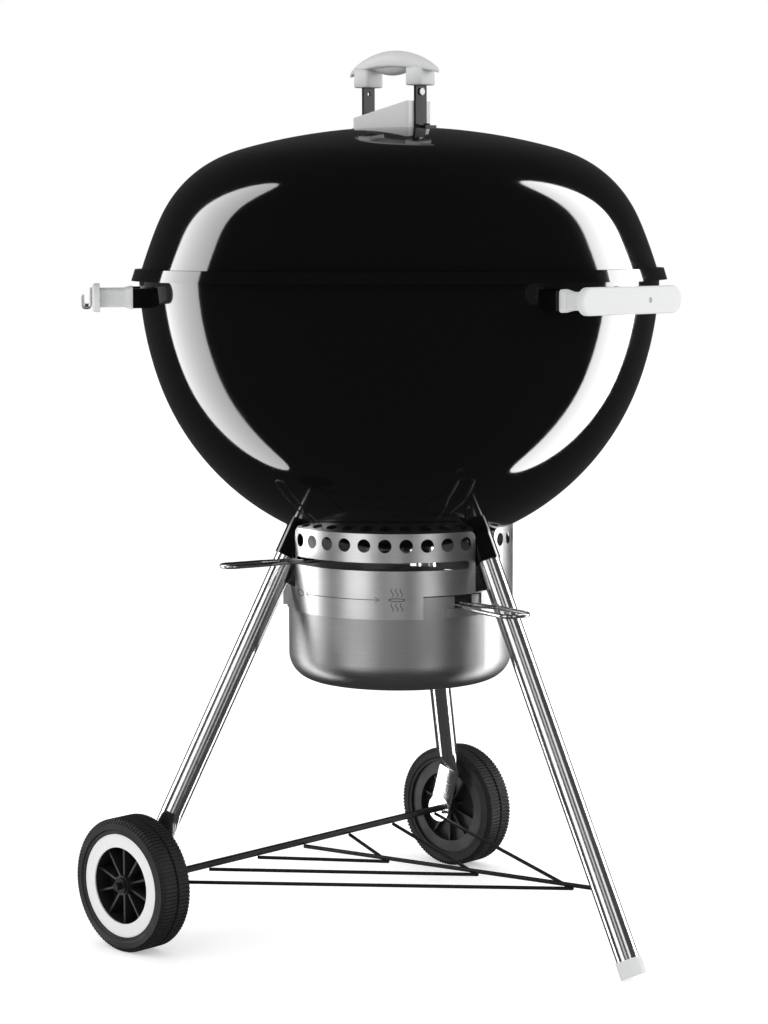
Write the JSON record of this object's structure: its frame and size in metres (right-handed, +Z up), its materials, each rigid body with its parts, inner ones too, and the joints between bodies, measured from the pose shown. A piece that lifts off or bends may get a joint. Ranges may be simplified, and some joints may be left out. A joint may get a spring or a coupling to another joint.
{
  "type": "kettle charcoal grill",
  "caption": "Round kettle charcoal grill: domed lid over a deep bowl on splayed tube legs, wheels on an axle, wire rack, vented collar, ash bucket and vent lever.",
  "frame": {"origin": "the kettle's vertical axis at the floor", "axes": "+Z up; +X towards the plain foot leg; the wheels' axle runs along Y"},
  "size_m": [0.6504, 0.6101, 0.9973],
  "materials": {
    "black_enamel": "glossy porcelain enamel",
    "plated_wire": "bright plated wire",
    "plain_steel": "plain steel",
    "brushed_metal": "brushed along the sheet",
    "bright_tube": "bright drawn tube",
    "grey_plastic": "moulded, fine grain",
    "black_wire": "semi-gloss black",
    "black_plastic": "moulded",
    "tyre_tread": "matt black",
    "white_plastic": "satin",
    "grey_metal": "light grey paint"
  },
  "bodies": {
    "kettle": {"bowl": "black_enamel", "leg_sockets": "black_enamel", "cooking_grate_supports": "black_enamel", "charcoal_grate_supports": "black_enamel", "foot_leg": "bright_tube", "foot_cap": "grey_plastic", "rear_wheel_leg": "bright_tube", "front_wheel_leg": "bright_tube", "axle": "plain_steel", "axle_spacers": "black_plastic", "axle_push_nuts": "plain_steel", "wire_rack": "black_wire", "vent_collar": "brushed_metal", "right_handle_brackets": "black_enamel", "left_handle_brackets": "black_enamel", "right_handle": "grey_plastic", "left_handle": "grey_plastic", "tool_hooks": "plated_wire"},
    "lid": {"lid": "black_enamel", "damper_rivet": "plain_steel", "lid_handle_grip": "grey_plastic", "near_handle_strap": "black_enamel", "far_handle_strap": "black_enamel", "heat_shield": "grey_metal", "shield_screw": "plain_steel", "strap_rivets": "black_enamel"},
    "damper": {"lid_damper": "brushed_metal"},
    "sweeper": {"vent_sweeper": "brushed_metal", "sweeper_shaft": "plain_steel", "vent_lever": "plated_wire", "shaft_washer": "plain_steel", "shaft_cotter_pin": "plain_steel"},
    "bucket": {"ash_bucket": "brushed_metal", "bucket_catches": "brushed_metal", "bucket_handle": "plated_wire"},
    "rear_wheel": {"rear_wheel_hub": "black_plastic", "rear_wheel_tyre": "tyre_tread", "rear_wheel_ring": "white_plastic"},
    "front_wheel": {"front_wheel_hub": "black_plastic", "front_wheel_tyre": "tyre_tread", "front_wheel_ring": "white_plastic"},
    "cooking_grate": {"cooking_grate": "plated_wire"},
    "right_flap": {"right_grate_flap": "plated_wire"},
    "left_flap": {"left_grate_flap": "plated_wire"},
    "charcoal_grate": {"charcoal_grate": "plated_wire"}
  },
  "joints": [
    {"name": "lid_lift", "type": "slide", "parent": "kettle", "child": "lid", "axis": [0, 0, 1], "range_m": [0, 0.35]},
    {"name": "damper_turn", "type": "hinge", "parent": "lid", "child": "damper", "pos_m": [0, 0.146, 0.89516], "axis": [0, 0.2241, 0.9746], "range_deg": [0, 45]},
    {"name": "vent_sweep", "type": "hinge", "parent": "kettle", "child": "sweeper", "pos_m": [0, 0, 0.43293], "axis": [0, 0, 1], "range_deg": [0, 91]},
    {"name": "bucket_drop", "type": "slide", "parent": "kettle", "child": "bucket", "axis": [0, 0, -1], "range_m": [0, 0.12]},
    {"name": "rear_wheel_spin", "type": "hinge", "parent": "kettle", "child": "rear_wheel", "pos_m": [-0.15501, 0.27288, 0.075], "axis": [0, 1, 0], "continuous": true},
    {"name": "front_wheel_spin", "type": "hinge", "parent": "kettle", "child": "front_wheel", "pos_m": [-0.15501, -0.27288, 0.075], "axis": [0, 1, 0], "continuous": true},
    {"name": "cooking_grate_lift", "type": "slide", "parent": "kettle", "child": "cooking_grate", "axis": [0, 0, 1], "range_m": [0, 0.05]},
    {"name": "right_flap_fold", "type": "hinge", "parent": "cooking_grate", "child": "right_flap", "pos_m": [0.14, 0, 0.702], "axis": [0, -1, 0], "range_deg": [0, 100]},
    {"name": "left_flap_fold", "type": "hinge", "parent": "cooking_grate", "child": "left_flap", "pos_m": [-0.14, 0, 0.702], "axis": [0, 1, 0], "range_deg": [0, 100]},
    {"name": "charcoal_grate_lift", "type": "slide", "parent": "kettle", "child": "charcoal_grate", "axis": [0, 0, 1], "range_m": [0, 0.1]}
  ]
}
